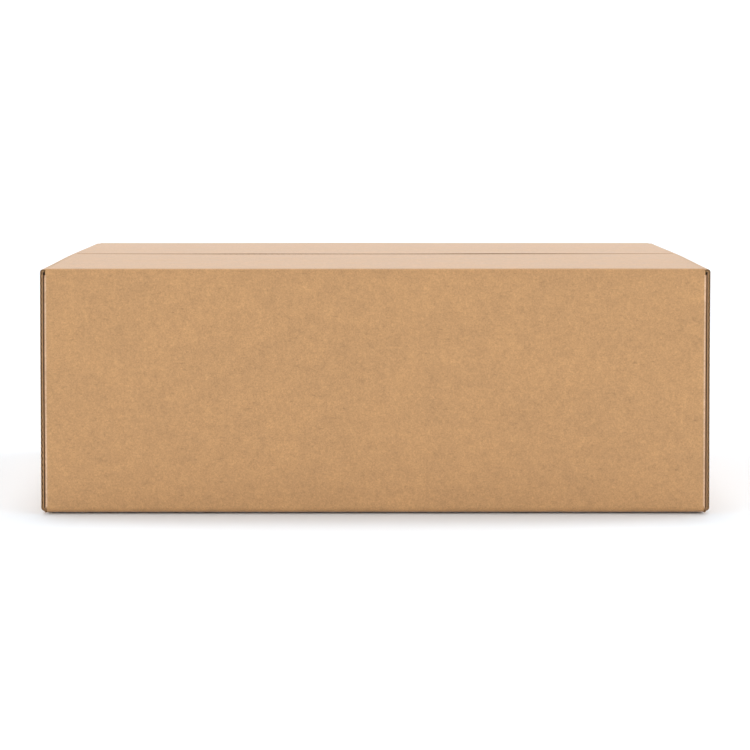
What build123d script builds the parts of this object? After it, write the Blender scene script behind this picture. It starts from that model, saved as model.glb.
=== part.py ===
from build123d import *
from math import atan2, tan
import os

# A closed shipping box, folded from one sheet of fine-flute corrugated board.
# The base carries four walls. The front and back walls carry the two long top flaps,
# which meet along the middle, and tabs that turn in behind the end walls.
# The end walls carry short inner flaps, which lie under the long ones.
# Millimetres. X runs along the box, Y from the front to the back, Z up.
# The origin is the middle of the underside.

# Outside of the closed box
length = 355.0
depth = 250.0
height = 129.5

# Board and folds
board = 1.4            # caliper of the sheet
crease_inside = 0.3    # inside radius of a fold
fold_outside = board + crease_inside

# Fluting, where it runs out at a cut edge that can be seen
flute_pitch = 3.4
liner = 0.2            # paper on each face of the board
medium_rise = 0.33     # the leaning wave between the faces, measured along the board
flute_tip = 0.3        # width of a channel at its narrow side
flute_margin = 0.5     # plain board at each end of a run of channels

# Corners
tab_length = 70.0      # tab behind an end wall, from the front or back face
tab_clearance = 0.35   # between a tab and the end wall in front of it
tab_end_gap = 0.2      # between a tab's ends and the board above and below it
corner_notch = 2.75    # cut edge of the long walls above and below a tab, from the end face

# Inner flaps and the rolled fold that they start from
inner_flap_length = 72.0
crest_drop = 0.4       # the roll's top, below the closed top
crest_flat = 0.7       # flat inside the roll, between its two bends
ramp_run = 0.75        # the board drops off the roll in this width
wall_clearance = 0.2   # between an inner flap and the long walls

# Long top flaps
flap_lift = 0.15       # between an inner flap and the long flap on it
flap_side_gap = 0.15   # between a long flap's side and the end wall's roll
roll_flat = 0.3        # flat that a wall's top roll ends with
hinge_gap = 0.15       # crease between the roll and its flap
seam_gap = 2.0         # between the two long flaps

half_length = length / 2
half_depth = depth / 2
inner_flap_top = height - board - flap_lift
crest_top = height - crest_drop
ramp_turn = atan2(crest_top - inner_flap_top, ramp_run)
ramp_inset = board * tan(ramp_turn / 2)
ramp_top = half_length - board - crest_flat - ramp_inset
ramp_foot = ramp_top - ramp_run
tab_bottom = board + crease_inside + tab_end_gap
tab_top = inner_flap_top - board - tab_end_gap
tab_face = half_length - board - tab_clearance
tab_fold_start = tab_face - fold_outside
wall_half = half_length - corner_notch
roll_end = fold_outside + roll_flat


def rounded_face(corners):
    """A flat face from (point, radius) corners; a radius of 0 leaves a corner sharp."""
    face = make_face(Polyline(*[point for point, radius in corners], close=True))
    for point, radius in corners:
        if radius > 0:
            corner = face.vertices().sort_by_distance((*point, 0))[0]
            face = fillet(corner, radius)
    return face.face()


def extrude_along_y(face, start, end):
    """A face drawn in X and Z, drawn out from y = start to y = end."""
    return Plane.XZ.offset(-start) * extrude(face, start - end)


def channels(start, end):
    """The fluting's channels in a straight run of board, each as four points:
    the place along the run, and the depth from the board's outer face."""
    start += flute_margin + flute_pitch / 2
    end -= flute_margin + flute_pitch / 2
    waves = int((end - start) / flute_pitch)
    first = (start + end - waves * flute_pitch) / 2
    tip = flute_tip / 2
    root = flute_pitch / 2 - medium_rise - tip
    outlines = []
    for i in range(2 * waves + 1):
        place = first + i * flute_pitch / 2
        wide, narrow = liner, board - liner
        if i % 2:
            wide, narrow = narrow, wide
        outlines.append(
            [(place - root, wide), (place + root, wide), (place + tip, narrow), (place - tip, narrow)]
        )
    return outlines


def face_with_holes(face, outlines):
    """A flat face with a hole for each outline."""
    return Face(face.outer_wire(), [Wire(Polyline(*points, close=True)) for points in outlines])


def ends_and_base():
    """Inner flap, end wall, base, end wall and inner flap: one strip, folded four times."""
    flap_end = half_length - inner_flap_length
    outer = [
        ((flap_end, inner_flap_top), 0),
        ((ramp_foot, inner_flap_top), crease_inside),
        ((ramp_top, crest_top), crease_inside),
        ((half_length, crest_top), fold_outside),
        ((half_length, 0), fold_outside),
    ]
    inner = [
        ((half_length - board, board), crease_inside),
        ((half_length - board, crest_top - board), crease_inside),
        ((ramp_top + ramp_inset, crest_top - board), crease_inside),
        ((ramp_foot + ramp_inset, inner_flap_top - board), crease_inside),
        ((flap_end, inner_flap_top - board), 0),
    ]
    left_outer = [((-x, z), radius) for (x, z), radius in reversed(outer)]
    left_inner = [((-x, z), radius) for (x, z), radius in reversed(inner)]
    fluting = []
    for outline in channels(fold_outside, crest_top - fold_outside):
        for side in (-1, 1):
            fluting.append([(side * (half_length - into), z) for z, into in outline])
    section = face_with_holes(rounded_face(outer + left_outer + left_inner + inner), fluting)
    strip = extrude_along_y(section, -half_depth, half_depth)
    slot = Box(2 * wall_half, board + wall_clearance, 2 * height)
    for side in (-1, 1):
        strip -= Pos(0, side * (half_depth - (board + wall_clearance) / 2), 0) * slot
    return strip


def long_walls_and_base():
    """Front wall, base and back wall with their folds, and the roll that each long flap
    starts from."""
    corners = [
        ((-half_depth + roll_end, height), 0),
        ((-half_depth, height), fold_outside),
        ((-half_depth, 0), fold_outside),
        ((half_depth, 0), fold_outside),
        ((half_depth, height), fold_outside),
        ((half_depth - roll_end, height), 0),
        ((half_depth - roll_end, height - board), 0),
        ((half_depth - board, height - board), crease_inside),
        ((half_depth - board, board), crease_inside),
        ((-half_depth + board, board), crease_inside),
        ((-half_depth + board, height - board), crease_inside),
        ((-half_depth + roll_end, height - board), 0),
    ]
    return Plane.YZ.offset(-wall_half) * extrude(rounded_face(corners), 2 * wall_half)


def upright_fold(x_side, y_side):
    """The square edge of a long wall beside a tab, which the upright fold takes the place of."""
    width = half_length - tab_fold_start
    place = Pos(x_side * (tab_fold_start + width / 2), y_side * half_depth, (tab_bottom + tab_top) / 2)
    return place * Box(width, 4 * board, tab_top - tab_bottom)


def corner_tab(x_side, y_side):
    """An upright fold of a long wall and its tab, in behind the end wall."""
    wall_edge = tab_fold_start - crease_inside
    tab_end = half_depth - tab_length
    corners = [
        ((wall_edge, half_depth), 0),
        ((tab_face, half_depth), fold_outside),
        ((tab_face, tab_end), 0),
        ((tab_face - board, tab_end), 0),
        ((tab_face - board, half_depth - board), crease_inside),
        ((wall_edge, half_depth - board), 0),
    ]
    section = rounded_face([((x_side * x, y_side * y), radius) for (x, y), radius in corners])
    return Pos(0, 0, tab_bottom) * extrude(section, tab_top - tab_bottom, dir=(0, 0, 1))


def box_body():
    """The sheet without its two long flaps: one folded piece."""
    walls = long_walls_and_base()
    for x_side in (-1, 1):
        for y_side in (-1, 1):
            walls -= upright_fold(x_side, y_side)
            walls += corner_tab(x_side, y_side)
    return ends_and_base() + walls


def front_flap():
    """A long top flap, flat and closed, hinged on the front wall."""
    half_width = ramp_foot - flap_side_gap
    underside = height - board
    corners = [(-half_width, height), (half_width, height), (half_width, underside), (-half_width, underside)]
    cut_edge = make_face(Polyline(*corners, close=True)).face()
    fluting = []
    for outline in channels(-half_width, half_width):
        fluting.append([(x, height - into) for x, into in outline])
    section = face_with_holes(cut_edge, fluting)
    return extrude_along_y(section, -half_depth + roll_end + hinge_gap, -seam_gap / 2)


nodes = {
    "box_body": box_body(),
    "front_top_flap": front_flap(),
    "back_top_flap": mirror(front_flap(), Plane.XZ),
}

os.makedirs("parts", exist_ok=True)
for name, node in nodes.items():
    export_step(node, f"parts/{name}.step")
    box = node.bounding_box()
    print(name, len(node.solids()), "solid,", round(node.volume / 1000, 2), "cm3,", box.min, box.max)
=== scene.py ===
# %% [markdown]
# # A closed cardboard box, folded from one sheet of corrugated board
# The real box is a single sheet: a base, four walls, two long flaps on top, and short flaps and
# tabs that tuck in behind. A quick stand-in would be a cube with a brown picture on it. That fails
# wherever a raw edge shows, because corrugated board is two flat papers with a wavy one between.
# So this lesson folds hollow board along lines, and every raw edge then shows its true fluting.
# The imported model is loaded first. It is the fixed frame that every size and place comes from.

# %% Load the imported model
import math

import bpy
import numpy as np
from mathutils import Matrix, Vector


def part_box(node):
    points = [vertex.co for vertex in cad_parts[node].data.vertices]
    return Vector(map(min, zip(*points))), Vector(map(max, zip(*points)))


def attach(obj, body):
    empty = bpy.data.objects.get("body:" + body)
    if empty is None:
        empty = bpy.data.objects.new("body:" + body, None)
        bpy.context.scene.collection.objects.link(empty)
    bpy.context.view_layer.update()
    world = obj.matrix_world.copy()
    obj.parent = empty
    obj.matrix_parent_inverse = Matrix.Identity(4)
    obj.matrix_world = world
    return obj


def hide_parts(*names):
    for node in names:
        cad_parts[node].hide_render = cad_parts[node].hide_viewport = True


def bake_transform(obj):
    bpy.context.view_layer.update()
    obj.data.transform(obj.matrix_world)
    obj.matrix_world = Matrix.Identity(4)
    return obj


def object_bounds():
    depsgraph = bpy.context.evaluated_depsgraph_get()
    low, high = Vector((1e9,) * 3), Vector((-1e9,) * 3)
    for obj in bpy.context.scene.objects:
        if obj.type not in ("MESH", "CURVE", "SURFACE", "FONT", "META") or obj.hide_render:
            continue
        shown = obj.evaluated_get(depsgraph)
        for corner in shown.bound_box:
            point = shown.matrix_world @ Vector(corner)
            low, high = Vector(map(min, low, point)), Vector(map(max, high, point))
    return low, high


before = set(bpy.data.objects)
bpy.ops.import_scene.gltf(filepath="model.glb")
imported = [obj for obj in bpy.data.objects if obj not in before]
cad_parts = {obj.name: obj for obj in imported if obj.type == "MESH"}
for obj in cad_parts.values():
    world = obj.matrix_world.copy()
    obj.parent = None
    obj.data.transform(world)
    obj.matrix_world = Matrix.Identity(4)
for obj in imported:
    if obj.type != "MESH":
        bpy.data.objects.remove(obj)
cad_low, cad_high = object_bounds()
print("box, metres:", [round(v, 4) for v in cad_low], [round(v, 4) for v in cad_high])

# %% [markdown]
# ## Sizes
# The outside of the box is read from the frame, and so are the long flaps, which give the board's
# thickness, their own width and the gap where they meet. The rest belongs to the sheet itself:
# how thick its papers are, how tight a fold is, and how far apart the flutes stand. The inner
# paper is drawn thicker than the outer one, so that raw edges show a broad pale line inside.
# Blender works in metres, so small sizes are written as millimetres times MM.

# %% Sizes of the box and its board
MM = 0.001
half_length, half_depth, height = cad_high
flap_low, flap_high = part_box("front_top_flap")
board = flap_high.z - flap_low.z
flap_half = flap_high.x
seam_edge = -flap_high.y

outer_liner = 0.18 * MM
inner_liner = 0.42 * MM
medium = 0.2 * MM
flute_pitch = 3.4 * MM
fold_inside = 0.3 * MM
fold_outside = board + fold_inside
crease_outside = 1.15 * MM
foot_outside = 3 * MM
foot_flat = 0.2 * MM
foot_top = foot_outside + foot_flat
crush_reach = 1.2 * MM
print("board", round(board / MM, 2), "mm, seam", round(2 * seam_edge / MM, 2), "mm")

# %% [markdown]
# ## The camera
# The box is seen from the front, a little above its top, through a long lens. Tilting the camera
# down would make the upright edges lean, so the lens is shifted instead, as on a product stand,
# and only a small tilt is left. It comes early, because a view is needed to judge anything else.

# %% Camera
view_distance = 1.2339
eye_height = 0.2108
stand_aside = -0.0027
tilt_down = math.radians(3.079)
turn_right = math.radians(0.117)
camera_data = bpy.data.cameras.new("camera")
camera_data.sensor_width = 36
camera_data.lens = 112.14
camera_data.shift_y = -0.1793
camera = bpy.data.objects.new("camera", camera_data)
camera.location = (stand_aside, -half_depth - view_distance, eye_height)
camera.rotation_euler = (math.pi / 2 - tilt_down, 0, -turn_right)
bpy.context.scene.collection.objects.link(camera)
bpy.context.scene.camera = camera
print("camera", round(view_distance, 3), "m from the front wall")

# %% [markdown]
# ## A folded line
# Each run of board is drawn first as a thin line with rounded bends: the line of its outer face.
# It could be a Bezier curve, but board is straight between folds and round at them, so straight
# runs and true arcs describe it better. A bend that closes over the inside is wide, because it
# goes round the board's thickness, and one that turns the other way is tight.
# `at` gives the place and the inward direction at any distance along the line.


# %% Folded line
class FoldedLine:
    """Straight runs joined by arcs, walked with the inside of the box on the left."""

    def __init__(self, corners, wide_bend=fold_outside):
        corners = np.array(corners, float)
        steps = np.diff(corners, axis=0)
        lengths = np.hypot(*steps.T)
        headings = np.arctan2(steps[:, 1], steps[:, 0])
        turns = (np.diff(headings) + math.pi) % (2 * math.pi) - math.pi
        radii = np.where(turns > 0, wide_bend, fold_inside)
        trims = np.concatenate([[0], radii * np.tan(np.abs(turns) / 2), [0]])
        self.runs = []
        distance = 0
        for i, heading in enumerate(headings):
            along = np.array([math.cos(heading), math.sin(heading)])
            start = corners[i] + trims[i] * along
            straight = lengths[i] - trims[i] - trims[i + 1]
            self.runs.append((distance, start, heading, 0, straight))
            distance += straight
            if i < len(turns):
                arc = radii[i] * abs(turns[i])
                end = start + straight * along
                self.runs.append((distance, end, heading, turns[i] / arc, arc))
                distance += arc
        self.length = distance

    def at(self, places):
        """Points and inward directions at these distances along the line."""
        points = np.zeros((len(places), 2))
        inward = np.zeros((len(places), 2))
        for start, origin, heading, curve, length in self.runs:
            here = (places >= start - 1e-9) & (places <= start + length + 1e-9)
            gone = places[here] - start
            angle = heading + curve * gone
            if curve:
                moved = [np.sin(angle) - math.sin(heading), math.cos(heading) - np.cos(angle)]
                points[here] = origin + np.stack(moved, axis=1) / curve
            else:
                points[here] = origin + gone[:, None] * [math.cos(heading), math.sin(heading)]
            inward[here] = np.stack([-np.sin(angle), np.cos(angle)], axis=1)
        return points, inward

    def flatness(self, places):
        """1 on a flat run and 0 in a bend, with a short run between the two."""
        flat = np.ones(len(places))
        for start, _, _, curve, length in self.runs:
            if curve:
                away = np.maximum(start - places, places - start - length)
                flat = np.minimum(flat, np.clip(away / crush_reach, 0, 1))
        return flat


sample = FoldedLine([(0, 0), (100 * MM, 0), (100 * MM, 50 * MM)])
print("a sample line with one fold:", round(sample.length / MM, 1), "mm")

# %% [markdown]
# ## Where the mesh needs rows
# A long flat run needs few rows, and its ends need many, because the sheet bends a little close to
# its folds and corners. `spread` therefore puts rows close together at both ends and lets them
# widen towards the middle. Bends get a fixed number of rows, enough to look round close up.
# The wave needs many rows along the line for its own shape, but it is hidden between two papers,
# so it gets wider gaps across. That keeps each piece of the box under 200,000 triangles.

# %% Rows along a run
bend_rows = 9
paper_gaps = (0.6 * MM, 1.6, 22 * MM)
wave_gaps = (4 * MM, 2.5, 60 * MM)


def spread(start, end, gaps=paper_gaps):
    """Places from start to end, close together at both ends and wider in between. gaps are the
    first gap, how much each one grows, and the widest."""
    gap, growth, widest = gaps
    half = (end - start) / 2
    place = 0
    near = [0]
    while place + gap < half:
        place += gap
        near.append(place)
        gap = min(gap * growth, widest)
    near = np.array(near)
    return np.concatenate([start + near, [(start + end) / 2], end - near[::-1]])


def line_rows(line):
    """The distances along a folded line where its papers get a row of points."""
    places = []
    for start, _, _, curve, length in line.runs:
        if curve:
            places.append(np.linspace(start, start + length, bend_rows))
        else:
            places.append(spread(start, start + length))
    return np.unique(np.round(np.concatenate(places), 9))


print("rows on the sample line:", len(line_rows(sample)))

# %% [markdown]
# ## A closed sheet of paper
# `paper` makes one closed shell between two depths under the folded line, drawn out sideways.
# A plane with a Solidify modifier would do for one flat sheet, but here one function serves for
# the outer paper, the inner paper and the wave between them, since only the depths differ.
# Each shell's volume is measured, and if it comes out negative its faces are turned round,
# so that every face looks outwards. Every point also keeps how pale its bend is made: partly wear
# from handling and partly a painted highlight, strongest where the fold starts to turn away from
# its broad face.

# %% Closed shells
SKIN, RIM = 0, 1
# Scales the pale on the bends, which is partly rubbed wear and partly a painted highlight.
rub_and_highlight_peak = 15  # brings the palest place in a bend to about 1


def paper(line, rows, near, far, sides, order, rim, skins, mirrored, rub_and_highlight=0.3, gaps=paper_gaps):
    """One closed shell. near and far are depths from the line's outer face, sides gives each
    row's two ends, and order says which axes the line and the sideways direction lie on.
    rim and skins are the finishes of the cut edges and of the two faces, the argument after
    mirrored is how pale a bend is made, partly rubbed wear and partly a painted highlight, and gaps
    is how finely the sideways direction is divided."""
    points, inward = line.at(rows)
    count = len(rows)
    low, high = (np.broadcast_to(side, count) for side in sides)
    across = spread(low.min(), high.max(), gaps)
    share = (across - across[0]) / (across[-1] - across[0])
    sideways = low[:, None] + (high - low)[:, None] * share
    grids = []
    for depth in (near, far):
        face = points + np.broadcast_to(depth, count)[:, None] * inward
        flat = np.broadcast_to(face[:, None, :], (count, len(share), 2))
        grids.append(np.concatenate([flat, sideways[..., None]], axis=2))
    corners = np.stack(grids)[..., list(order)].reshape(-1, 3)
    if mirrored:
        corners = corners * [1, -1, 1]
    index = np.arange(2 * count * len(share)).reshape(2, count, len(share))
    faces = []
    for face in index:
        faces.append(np.stack([face[:-1, :-1], face[1:, :-1], face[1:, 1:], face[:-1, 1:]], axis=-1))
    faces[1] = faces[1][..., ::-1]
    quads = [face.reshape(-1, 4) for face in faces]
    edges = [index[:, 0, :], index[:, -1, ::-1], index[:, ::-1, 0], index[:, :, -1]]
    rims = []
    for outer, inner in edges:
        rims.append(np.stack([outer[:-1], outer[1:], inner[1:], inner[:-1]], axis=-1))
    quads.append(np.concatenate(rims))
    kinds = np.repeat([*skins, rim], [len(q) for q in quads])
    quads = np.concatenate(quads)
    if volume(corners, quads) < 0:
        quads = quads[:, ::-1]
    flute = np.broadcast_to(rows[:, None], (2, count, len(share))).reshape(-1)
    if order[0] == 2:
        flute = corners[:, 0]
    # Painted highlight, partly rubbed wear: each bend is made pale, most in the part that turns to face
    # sideways, where side light catches the fold.
    rub_and_highlight_mask = rub_and_highlight * (1 - line.flatness(rows)) * rub_and_highlight_peak * (inward[:, 0] * inward[:, 1] ** 5) ** 2
    wear_and_highlight = np.broadcast_to(rub_and_highlight_mask[:, None], (2, count, len(share))).reshape(-1)
    return corners, quads, kinds, flute, wear_and_highlight


def volume(corners, quads):
    """The volume inside a closed shell of four-sided faces."""
    a, b, c, d = (corners[quads[:, i]] for i in range(4))
    return (np.cross(b, c) * a).sum() / 6 + (np.cross(c, d) * a).sum() / 6


strip_sides = (0, 20 * MM)
strip = paper(
    sample, line_rows(sample), 0, outer_liner, strip_sides, (0, 2, 1), RIM, (SKIN, SKIN), False
)
print("a sample strip of paper:", round(volume(strip[0], strip[1]) / MM**3, 1), "mm3")

# %% [markdown]
# ## Corrugated board
# A run of board is three papers: the outer one, the inner one and the wave glued between them.
# The wave is a sine along the line. Its paper leans as it climbs, so its depth through the board
# is stretched by the slope, which keeps the paper equally thick everywhere. Near a fold the
# flutes are crushed flat, as the creasing wheel leaves them. The wave is made only in the runs
# whose cut edges can be seen. The base and the long walls have the two flat papers and nothing
# between, because no edge ever shows it and a wave there would only add weight to the model.

# %% Board made of three papers
wave_steps = 12
wave_height = board - outer_liner - inner_liner
print("the wave is", round(wave_height / MM, 2), "mm high in board", round(board / MM, 2), "mm thick")


def corrugated(line, sides, order, fluted, mirrored=False, rub_and_highlight=0.3):
    """Two papers the whole length of the line, and a wave on each fluted stretch."""
    rows = line_rows(line)
    shells = []
    liners = [(0, outer_liner, (SKIN, RIM)), (board - inner_liner, board, (RIM, SKIN))]
    for near, far, skins in liners:
        ends = sides(line, rows)
        shells.append(paper(line, rows, near, far, ends, order, RIM, skins, mirrored, rub_and_highlight))
    for start, end in fluted:
        steps = int((end - start) / flute_pitch * wave_steps)
        rows = np.linspace(start, end, steps + 1)
        rise = (wave_height - medium) / 2 * line.flatness(rows)
        phase = 2 * math.pi * (rows - start) / flute_pitch
        middle = (board + outer_liner - inner_liner) / 2 + rise * np.sin(phase)
        slope = rise * np.cos(phase) * 2 * math.pi / flute_pitch
        half = medium / 2 * np.sqrt(1 + slope**2)
        near, far = middle - half, middle + half
        ends = sides(line, rows)
        skins = (RIM, RIM)
        shells.append(
            paper(line, rows, near, far, ends, order, RIM, skins, mirrored, gaps=wave_gaps)
        )
    return shells


# %% [markdown]
# ## Sizes of the folds over the ends
# At each end the board rolls over the end wall's top and steps down to a short inner flap, so that
# the long flaps can lie flush on it. Everything here is worked out from the board's thickness and
# a few small clearances. Typed places would be quicker, but would part if the board changed.

# %% Folds over the ends
inner_flap_length = 72 * MM
inner_flap_droop = 0.6 * MM
flap_lift = 0.15 * MM
crest_drop = 0.4 * MM
crest_flat = 0.7 * MM
ramp_run = 0.75 * MM
wall_clearance = 0.2 * MM
corner_notch = 2.75 * MM

crest_top = height - crest_drop
inner_flap_top = height - board - flap_lift
ramp_turn = math.atan2(crest_top - inner_flap_top, ramp_run)
ramp_top = half_length - board - crest_flat - board * math.tan(ramp_turn / 2)
ramp_foot = ramp_top - ramp_run
wall_half = half_length - corner_notch
inner_flap_end = half_length - inner_flap_length
print("the roll steps down", round((crest_top - inner_flap_top) / MM, 2), "mm to the inner flap")

# %% [markdown]
# ## A box that has been handled
# A real box is never perfectly flat. The base sags on to the table, its long edges stand a little
# higher and its ends higher still, and that leaves the thin dark slot along the foot. The lid
# rises slightly to the seam and dips along it, one flap's lip stands proud of the other, and the
# walls wander by a tenth of a millimetre. This could be sculpted by hand. A formula that moves
# points by where they are does it for every piece at once, and pieces that touch stay together.

# %% Settle
end_lift = 2.1 * MM
end_lift_run = corner_notch - board
edge_lift = 1.1 * MM
edge_lift_run = 12 * MM
lift_height = 24 * MM
base_sag = 1.65 * MM
end_lean = 0.25 * MM
seam_rise = 0.54 * MM
seam_dip = 0.33 * MM
lip_rise = 0.26 * MM
lip_run = 6 * MM
crest_rise = 0.25 * MM
crest_step = 12 * MM
wander = 0.08 * MM
lid_start = height - 2.5 * board


def ease(t):
    """0 below 0, 1 above 1, and smooth between."""
    t = np.clip(t, 0, 1)
    return t * t * (3 - 2 * t)


def settle(points):
    """The same small changes of shape for every point of the box."""
    x, y, z = points.T
    along = x / half_length
    raised = ease(z / lift_height)
    lid = ease((z - lid_start) / board)
    to_seam = ease(1 - np.abs(y) / half_depth)
    to_end = ease((np.abs(x) - wall_half) / end_lift_run)
    to_edge = ease((np.abs(y) - half_depth + edge_lift_run) / edge_lift_run)
    # The underside: the base sags, a little less at its ends and long edges.
    new_z = z + (1 - raised) * (np.maximum(end_lift * to_end, edge_lift * to_edge) - base_sag)
    # The lid: both flaps rise a little to the seam and dip along its middle.
    new_z += lid * to_seam * (seam_rise - seam_dip * (1 - along**2))
    # The back flap's edge stands proud of the front one, more in some places than in others.
    back_flap = (y > 0) & (z > height - board - flap_lift / 2) & (np.abs(x) < flap_half + flap_lift / 2)
    proud = (1 - along**4) * (1 - 0.25 * np.cos(45 * x) + 0.15 * np.sin(20 * x))
    new_z += lip_rise * proud * ease((lip_run - y) / lip_run) * back_flap
    # The rolled folds over the ends stand a little higher in front of the seam than behind it.
    crest = ease((np.abs(x) - ramp_foot) / (half_length - ramp_foot)) * lid
    new_z += crest_rise * crest * (0.75 - 0.5 * ease(y / crest_step + 0.5))
    # The walls wander, and the end walls lean out at the foot. The numbers of waves have nothing
    # in common, so that no pattern repeats.
    bow = raised * np.sin(math.pi * np.clip(z / height, 0, 1))
    new_x = x + end_lean * along * (1 - z / height)
    new_x += wander * bow * (np.sin(21 * y + 1.3) + 0.6 * np.sin(47 * y - 17 * z + 0.4))
    new_y = y + wander * bow * (np.sin(13 * x + 2.1) + 0.6 * np.sin(31 * x + 23 * z + 1.7))
    ripple = np.sin(17 * x + 9 * y + 0.6) + 0.5 * np.sin(39 * x + 2.9)
    new_z += wander * raised * ripple * (1 - np.abs(along))
    return np.stack([new_x, new_y, new_z], axis=1)


seam_end = settle(np.array([[flap_half, 0, height]]))[0]
print("the lid's seam ends", round((seam_end[2] - height) / MM, 2), "mm higher than drawn")

# %% [markdown]
# ## From shells to a Blender object
# The shells of a piece are joined into one mesh. Each point's distance across the flutes and how
# pale its fold is made are stored as two point attributes, so that the paper's finish can follow
# the waves beneath it and the pale folds, which are partly rubbed wear and partly a painted
# highlight. Painted maps could hold both, but would need unwrapping.
# Faces are shaded smooth, and edges sharper than 35 degrees stay crisp, as cut board does.

# %% Piece maker
sharp_angle = math.radians(35)


def make_piece(name, shells, materials):
    """One mesh object from several closed shells."""
    corners, quads, kinds, flutes, wear_and_highlight = [], [], [], [], []
    count = 0
    for shell_corners, shell_quads, shell_kinds, shell_flutes, shell_worn in shells:
        corners.append(shell_corners)
        quads.append(shell_quads + count)
        kinds.append(shell_kinds)
        flutes.append(shell_flutes)
        wear_and_highlight.append(shell_worn)
        count += len(shell_corners)
    mesh = bpy.data.meshes.new(name)
    mesh.from_pydata(settle(np.concatenate(corners)), [], np.concatenate(quads))
    mesh.polygons.foreach_set("material_index", np.concatenate(kinds).astype(np.int32))
    mesh.polygons.foreach_set("use_smooth", np.ones(len(mesh.polygons), bool))
    # The second attribute holds the pale folds: partly rubbed wear, partly a painted highlight.
    for title, values in (("flute", flutes), ("wear_and_highlight", wear_and_highlight)):
        attribute = mesh.attributes.new(title, "FLOAT", "POINT")
        attribute.data.foreach_set("value", np.concatenate(values).astype(np.float32))
    mesh.set_sharp_from_angle(angle=sharp_angle)
    for material in materials:
        mesh.materials.append(material)
    piece = bpy.data.objects.new(name, mesh)
    bpy.context.scene.collection.objects.link(piece)
    print(name, len(shells), "shells,", 2 * len(mesh.polygons), "triangles")
    return piece


# %% [markdown]
# ## Kraft paper
# Brown kraft is matt and warm, and never one flat colour: long fibres make fine flecks, the pulp is
# cloudy over a centimetre or so, and the flutes beneath print faint ridges. A picture of paper
# could be wrapped round the box, but it would stretch at the folds. Noise in several sizes is made
# instead from each point's own place, so it has no seams and stays with a flap as it opens.
# A small helper keeps the node work readable.


# %% Node helpers
def node(tree, kind, settings=(), **sockets):
    """A new node, with its settings and its inputs given as values or as other outputs."""
    made = tree.nodes.new(kind)
    for name, value in dict(settings).items():
        setattr(made, name, value)
    for name, value in sockets.items():
        socket = made.inputs[int(name[1:]) if name[1:].isdigit() else name.replace("_", " ")]
        if isinstance(value, bpy.types.NodeSocket):
            tree.links.new(value, socket)
        else:
            socket.default_value = value
    return made


def noise(tree, place, scale, detail, roughness):
    """Cloudy values from 0 to 1. The scale is clouds per metre."""
    return node(
        tree, "ShaderNodeTexNoise", Vector=place, Scale=scale, Detail=detail, Roughness=roughness
    ).outputs["Fac"]


def remap(tree, value, low, high, new_low, new_high):
    """Stretches a value from one range to another."""
    return node(
        tree, "ShaderNodeMapRange", Value=value, From_Min=low, From_Max=high,
        To_Min=new_low, To_Max=new_high,
    ).outputs["Result"]


def combine(tree, operation, first, second):
    """Simple arithmetic on two values."""
    return node(tree, "ShaderNodeMath", {"operation": operation}, _0=first, _1=second).outputs[0]


# %% [markdown]
# ## The paper's finish
# Colour: one brown, made a little lighter and darker by the clouds, and darker in thin flecks that
# lie along the sheet. Only brightness changes, since the fibres are all one pulp. The folds get a
# little plain pale added: partly rubbed wear, since loose fibres scatter white light and don't
# tint it, and partly a painted highlight where a fold turns towards the side light.
# Height: fine tooth, soft cockle and the faint ridge of each flute go into one Bump node. Their
# heights are in millimetres, and the scales of the noise are in clouds per metre.
# Gloss: paper is rough, a little less so where the mill's rollers pressed it.

# %% Kraft liner
paper_brown = (0.458, 0.252, 0.106)
cloud_scale, mottle_scale, tooth_scale = 60, 260, 1300
fibre_scale, fibre_stretch = 900, 0.22
cockle_scale = 90
cloud_depth, mottle_depth, tooth_depth = 0.075, 0.12, 0.225
tooth_height, cockle_height, flute_height = 0.018, 0.05, 0.006
# How much plain pale the folds get, partly for rubbed wear and partly as a painted highlight.
least_rub_and_highlight, most_rub_and_highlight = 0.05, 0.16


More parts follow.
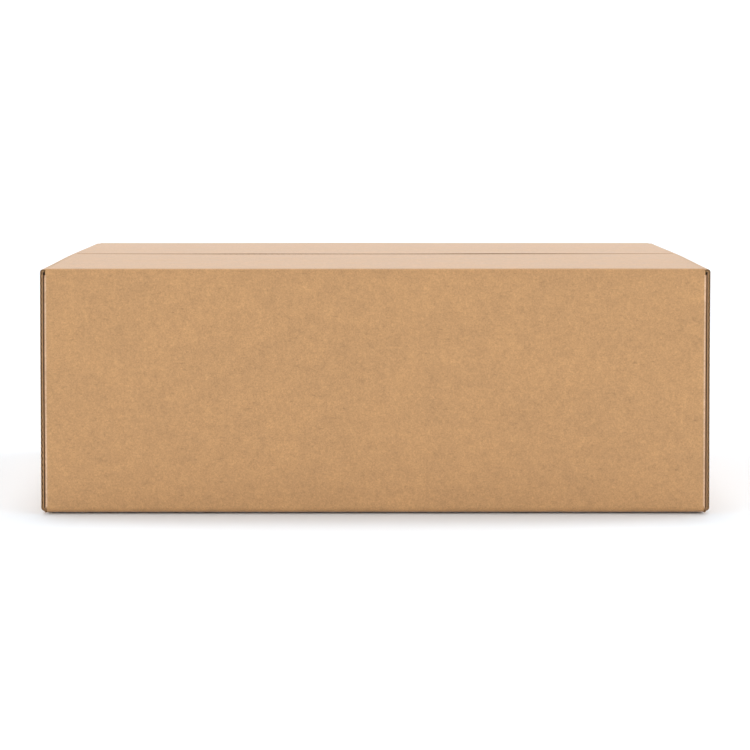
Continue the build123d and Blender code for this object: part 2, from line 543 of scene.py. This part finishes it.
def kraft_liner():
    """The flat papers on both faces of the board."""
    material = bpy.data.materials.new("kraft_liner")
    material.use_nodes = True
    tree = material.node_tree
    shader = tree.nodes["Principled BSDF"]
    place = node(tree, "ShaderNodeTexCoord").outputs["Object"]
    along = node(tree, "ShaderNodeMapping", Vector=place, Scale=(fibre_stretch, 1, 1)).outputs[0]
    clouds = noise(tree, place, cloud_scale, 3, 0.8)
    mottle = noise(tree, place, mottle_scale, 3, 0.9)
    tooth = noise(tree, place, tooth_scale, 2, 0.9)
    fibres = noise(tree, along, fibre_scale, 2, 0.6)
    flecks = remap(tree, fibres, 0.64, 0.76, 1, 0.82)
    tone = remap(tree, clouds, 0.25, 0.75, 1 - cloud_depth, 1 + cloud_depth)
    for grain, depth in ((mottle, mottle_depth), (tooth, tooth_depth)):
        tone = combine(tree, "MULTIPLY", tone, remap(tree, grain, 0.25, 0.75, 1 - depth, 1 + depth))
    tone = combine(tree, "MULTIPLY", tone, flecks)
    # Pale folds: partly rubbed wear, partly a painted highlight.
    wear_and_highlight = node(tree, "ShaderNodeAttribute", {"attribute_name": "wear_and_highlight"}).outputs["Fac"]
    pale = combine(tree, "MULTIPLY", wear_and_highlight, remap(tree, mottle, 0.3, 0.7, least_rub_and_highlight, most_rub_and_highlight))
    flute = node(tree, "ShaderNodeAttribute", {"attribute_name": "flute"}).outputs["Fac"]
    wave = combine(tree, "SINE", combine(tree, "MULTIPLY", flute, 2 * math.pi / flute_pitch), 0)
    cockle = noise(tree, place, cockle_scale, 2, 0.5)
    high = combine(tree, "MULTIPLY", tooth, tooth_height)
    for swell, millimetres in ((cockle, cockle_height), (wave, flute_height)):
        high = combine(tree, "ADD", high, combine(tree, "MULTIPLY", swell, millimetres))
    bump = node(tree, "ShaderNodeBump", Height=high, Strength=1.0, Distance=MM).outputs[0]
    shade = node(tree, "ShaderNodeVectorMath", {"operation": "SCALE"}, _0=paper_brown)
    tree.links.new(tone, shade.inputs["Scale"])
    colour = node(tree, "ShaderNodeVectorMath", {"operation": "ADD"}, _0=shade.outputs[0], _1=pale)
    tree.links.new(colour.outputs[0], shader.inputs["Base Color"])
    tree.links.new(remap(tree, clouds, 0.3, 0.7, 0.58, 0.70), shader.inputs["Roughness"])
    tree.links.new(bump, shader.inputs["Normal"])
    shader.inputs["IOR"].default_value = 1.45
    shader.inputs["Sheen Weight"].default_value = 0.22
    shader.inputs["Sheen Roughness"].default_value = 0.4
    return material


# %% [markdown]
# ## The raw edge
# Where board is cut, the papers end in soft torn fibre, greyer and darker than their faces, and the
# wave is made of cheaper recycled pulp. It shows only in small glimpses, so it needs no flecks:
# a duller brown with a coarse nap and almost no gloss is what the eye reads as a raw edge.

# %% Board core
core_brown = (0.38, 0.22, 0.105)
nap_scale, nap_height = 900, 0.06 * MM


def board_core():
    """The wavy paper, the papers' cut edges and their faces towards the wave."""
    material = bpy.data.materials.new("board_core")
    material.use_nodes = True
    tree = material.node_tree
    shader = tree.nodes["Principled BSDF"]
    place = node(tree, "ShaderNodeTexCoord").outputs["Object"]
    nap = noise(tree, place, nap_scale, 4, 0.8)
    shade = node(tree, "ShaderNodeVectorMath", {"operation": "SCALE"}, _0=core_brown)
    tree.links.new(remap(tree, nap, 0.25, 0.75, 0.82, 1.18), shade.inputs["Scale"])
    bump = node(tree, "ShaderNodeBump", Height=nap, Strength=0.8, Distance=nap_height).outputs[0]
    tree.links.new(shade.outputs[0], shader.inputs["Base Color"])
    tree.links.new(remap(tree, nap, 0.3, 0.7, 0.82, 0.95), shader.inputs["Roughness"])
    tree.links.new(bump, shader.inputs["Normal"])
    shader.inputs["Specular IOR Level"].default_value = 0.1
    return material


finish = [kraft_liner(), board_core()]
print("materials:", [material.name for material in finish])

# %% [markdown]
# ## The ends and the base
# One strip of the sheet runs from a short inner flap, up over a rolled fold and down the end wall,
# along the base, and up to the other inner flap. Its flutes run from front to back, so they end at
# the upright front edges of the end walls, which are raw. Those edges are the only fluting that
# shows on the closed box. The base and inner flaps are a little narrower, to fit between the long
# walls, so the strip's sides step in where it leaves the end walls.

# %% Ends and base
# How pale the end strip's bends are made: partly rubbed wear, partly a painted highlight.
end_rub_and_highlight = 1.2


def end_sides(line, rows):
    """The full depth at the end walls, and narrower between the long walls."""
    across, up = np.abs(line.at(rows)[0]).T
    between_walls = np.where(up < board, half_depth - foot_top, half_depth - board - wall_clearance)
    reach = np.where(across > wall_half, half_depth, between_walls)
    return -reach, reach


def ends_and_base():
    """The strip that is folded into inner flap, end wall, base, end wall and inner flap."""
    right = [
        (half_length, 0),
        (half_length, crest_top),
        (ramp_top, crest_top),
        (ramp_foot, inner_flap_top),
        (inner_flap_end, inner_flap_top - inner_flap_droop),
    ]
    left = [(-x, z) for x, z in reversed(right)]
    line = FoldedLine(left + right)
    base_start = line.length / 2 - half_length + fold_outside
    fluted = [(0, base_start), (line.length - base_start, line.length)]
    return corrugated(line, end_sides, (0, 2, 1), fluted, rub_and_highlight=end_rub_and_highlight)


box_shells = ends_and_base()
print("ends and base:", len(box_shells), "shells")

# %% [markdown]
# ## The long walls and their tabs
# Seen from above, a long wall turns round an upright fold at each end and becomes a tab, which
# hides behind the end wall and squares the corner. The tabs' flutes are upright. This strip is drawn
# in plan and drawn out upwards, and the back one is the front one mirrored.

# %% Long walls
tab_length = 70 * MM
tab_clearance = 0.35 * MM
tab_end_gap = 0.2 * MM
# How pale the upright folds are made: partly rubbed wear, partly a painted highlight.
upright_rub_and_highlight = 1.7
tab_face = half_length - board - tab_clearance
tab_bottom = board + fold_inside + tab_end_gap
tab_top = inner_flap_top - board - tab_end_gap - inner_flap_droop / 2


def wall_sides(line, rows):
    """The long walls reach from the fold below to the crease above."""
    across = np.abs(line.at(rows)[0][:, 0])
    return np.where(across < wall_half, foot_top, tab_bottom), np.full(len(rows), tab_top)


def long_wall(mirrored):
    """Tab, upright fold, long wall, upright fold and tab."""
    tab_end = -half_depth + tab_length
    corners = [
        (-tab_face, tab_end),
        (-tab_face, -half_depth),
        (tab_face, -half_depth),
        (tab_face, tab_end),
    ]
    line = FoldedLine(corners)
    fluted = [(0, tab_length), (line.length - tab_length, line.length)]
    return corrugated(line, wall_sides, (0, 1, 2), fluted, mirrored, rub_and_highlight=upright_rub_and_highlight)


for mirrored in (False, True):
    box_shells += long_wall(mirrored)
print("with the long walls:", len(box_shells), "shells")

# %% [markdown]
# ## The folds across the flutes
# Where the base turns up into a long wall, and where that wall turns in to carry its flap, the
# crease crosses the flutes and crushes them solid. So these folds are solid bands, not hollow
# board. The lower one is wide and soft, since nothing pulls it tight. The upper one is tight, and
# it stops a liner's depth below the surface at the bend, because the outer paper there has to
# bend with the flap and is made as a piece of its own.

# %% Solid folds
hinge_paper = 0.25 * MM
crushed_board = 1.0 * MM
step_width = 0.02 * MM
flap_start = -half_depth + crease_outside


def crushed_depth(line, rows):
    """The board's thickness, and less than the bend's own radius where it is creased."""
    return crushed_board + (board - crushed_board) * line.flatness(rows)


def lower_fold(mirrored):
    """Between the base and a long wall: one shell through the whole thickness of the board."""
    corners = [(-half_depth, foot_top), (-half_depth, 0), (-half_depth + foot_top, 0)]
    line = FoldedLine(corners, foot_outside)
    rows = line_rows(line)
    ends = (np.full(len(rows), -wall_half), np.full(len(rows), wall_half))
    return paper(line, rows, 0, board, ends, (2, 0, 1), SKIN, (SKIN, SKIN), mirrored, rub_and_highlight=0)


def upper_fold(mirrored):
    """The roll at the top of a long wall, under the hinge paper."""
    corners = [
        (flap_start, height),
        (-half_depth, height),
        (-half_depth, tab_top),
    ]
    line = FoldedLine(corners, crease_outside)
    bend_end = line.length - line.runs[-1][4]
    rows = np.unique(np.append(line_rows(line), bend_end + step_width))
    ends = (np.full(len(rows), -wall_half), np.full(len(rows), wall_half))
    near = np.where(rows > bend_end + step_width / 2, 0.0, hinge_paper)
    far = crushed_depth(line, rows)
    return paper(line, rows, near, far, ends, (2, 0, 1), SKIN, (SKIN, SKIN), mirrored)


for mirrored in (False, True):
    box_shells += [lower_fold(mirrored), upper_fold(mirrored)]
sheet = make_piece("folded_sheet", box_shells, finish)
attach(sheet, "box")
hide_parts("box_body")

# %% [markdown]
# ## The long flaps
# Each long flap is a flat plate of the same board. Its flutes run from the crease to the seam, so
# the seam edge and the two side edges are raw, and the seam edge shows the wave when the box is
# opened. At the crease the flutes are crushed shut, so a thin solid bar closes them.

# %% Long flaps
crease_bar = 0.45 * MM


def long_flap(mirrored):
    """A plate of board with an open seam edge and a crushed crease edge."""
    line = FoldedLine([(flap_half, height), (-flap_half, height)])
    bar_end = flap_start + crease_bar

    def plate_sides(line, rows):
        return np.full(len(rows), bar_end), np.full(len(rows), -seam_edge)

    shells = corrugated(line, plate_sides, (0, 2, 1), [(0, line.length)], mirrored)
    rows = line_rows(line)
    bar_sides = (np.full(len(rows), flap_start), np.full(len(rows), bar_end))
    shells.append(paper(line, rows, 0, board, bar_sides, (0, 2, 1), SKIN, (SKIN, SKIN), mirrored))
    return shells


for side, mirrored in (("front", False), ("back", True)):
    flap = make_piece(f"{side}_long_flap", long_flap(mirrored), finish)
    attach(flap, f"{side}_flap")
    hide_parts(f"{side}_top_flap")

# %% [markdown]
# ## The hinge paper
# When a flap opens, its crease bends but the outer paper never parts. If the paper belonged to the
# wall, or to the flap, it would tear away when the flap turned. So it is a piece of its own, fixed
# in place and tied to neither, whose rows turn step by step round the fold from wall to flap.
# It is as wide as the wall at one edge and as the flap at the other, since the sheet is cut so.

# %% Hinge paper
hinge_rows = 13
# How pale the hinge paper's bend is made: partly rubbed wear, partly a painted highlight.
hinge_rub_and_highlight = 0.1


def hinge(mirrored):
    """A thin band of outer paper round the fold between a long wall and its flap."""
    corners = [
        (flap_start, height),
        (-half_depth, height),
        (-half_depth, height - crease_outside),
    ]
    line = FoldedLine(corners, crease_outside)
    rows = np.linspace(0, line.length, hinge_rows)
    half_width = flap_half + (wall_half - flap_half) * rows / line.length
    sides = (-half_width, half_width)
    skins = (SKIN, SKIN)
    return [paper(line, rows, 0, hinge_paper, sides, (2, 0, 1), SKIN, skins, mirrored, hinge_rub_and_highlight)]


for side, mirrored in (("front", False), ("back", True)):
    band = make_piece(f"{side}_hinge_paper", hinge(mirrored), finish)
    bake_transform(band)

# %% [markdown]
# ## The floor
# The box stands on a plain pale sheet that runs on far past the view, so that no horizon shows.
# A curved sweep would do the same with more to model. It lies at the level of the sagging base,
# and it is very slightly cool, to balance the warm light that the brown board throws on it.

# %% Floor
floor_mesh = bpy.data.meshes.new("floor")
floor_reach = 12
floor_mesh.from_pydata(
    [(x * floor_reach, y * floor_reach, -base_sag) for x, y in ((-1, -1), (1, -1), (1, 1), (-1, 1))],
    [],
    [(0, 1, 2, 3)],
)
floor = bpy.data.objects.new("floor", floor_mesh)
bpy.context.scene.collection.objects.link(floor)
floor_material = bpy.data.materials.new("pale_floor")
floor_material.use_nodes = True
floor_shader = floor_material.node_tree.nodes["Principled BSDF"]
floor_shader.inputs["Base Color"].default_value = (0.875, 0.925, 0.975, 1)
floor_shader.inputs["Roughness"].default_value = 1.0
floor_shader.inputs["Specular IOR Level"].default_value = 0.0
floor_mesh.materials.append(floor_material)
print("floor at", round(-base_sag / MM, 2), "mm")

# %% [markdown]
# ## The light
# Soft light comes from all round, so the shadow is tight at the foot and fades within a few
# centimetres. The world glows more at the height of walls than overhead, and that gives the lid
# its pale sheen at a grazing angle. Five wide, distant lamps do the rest: three above light the
# lid and draw the soft band before the foot, and two low ones at the sides light the front
# without shining straight into its raw edges. Panels close by would light the far floor unevenly.

# %% World and lamps
wall_glow = 1.15
ceiling_glow = 0.5
scene = bpy.context.scene
scene.view_settings.view_transform = "Standard"
world = bpy.data.worlds.new("studio")
world.use_nodes = True
glow = world.node_tree.nodes["Background"]
glow.inputs["Color"].default_value = (1, 1, 1, 1)
direction = node(world.node_tree, "ShaderNodeTexCoord").outputs["Generated"]
up = node(world.node_tree, "ShaderNodeSeparateXYZ", Vector=direction).outputs["Z"]
brightness = remap(world.node_tree, up, 0.15, 0.7, wall_glow, ceiling_glow)
world.node_tree.links.new(brightness, glow.inputs["Strength"])
scene.world = world


def soft_lamp(name, toward, spread, strength):
    """Even light that comes from one direction, spread over an angle in degrees."""
    data = bpy.data.lights.new(name, "SUN")
    data.angle = math.radians(spread)
    data.energy = strength
    lamp = bpy.data.objects.new(name, data)
    lamp.location = toward
    lamp.rotation_euler = lamp.location.to_track_quat("Z", "Y").to_euler()
    scene.collection.objects.link(lamp)


soft_lamp("overhead", (0, 0.19, 1), 25, 1.1)
soft_lamp("upper_left", (-1.1, 0.35, 1), 30, 0.45)
soft_lamp("upper_right", (1.1, 0.35, 1), 30, 0.6)
soft_lamp("front_left", (-1, -0.55, 0.15), 30, 0.95)
soft_lamp("front_right", (1, -0.55, 0.15), 30, 1.1)
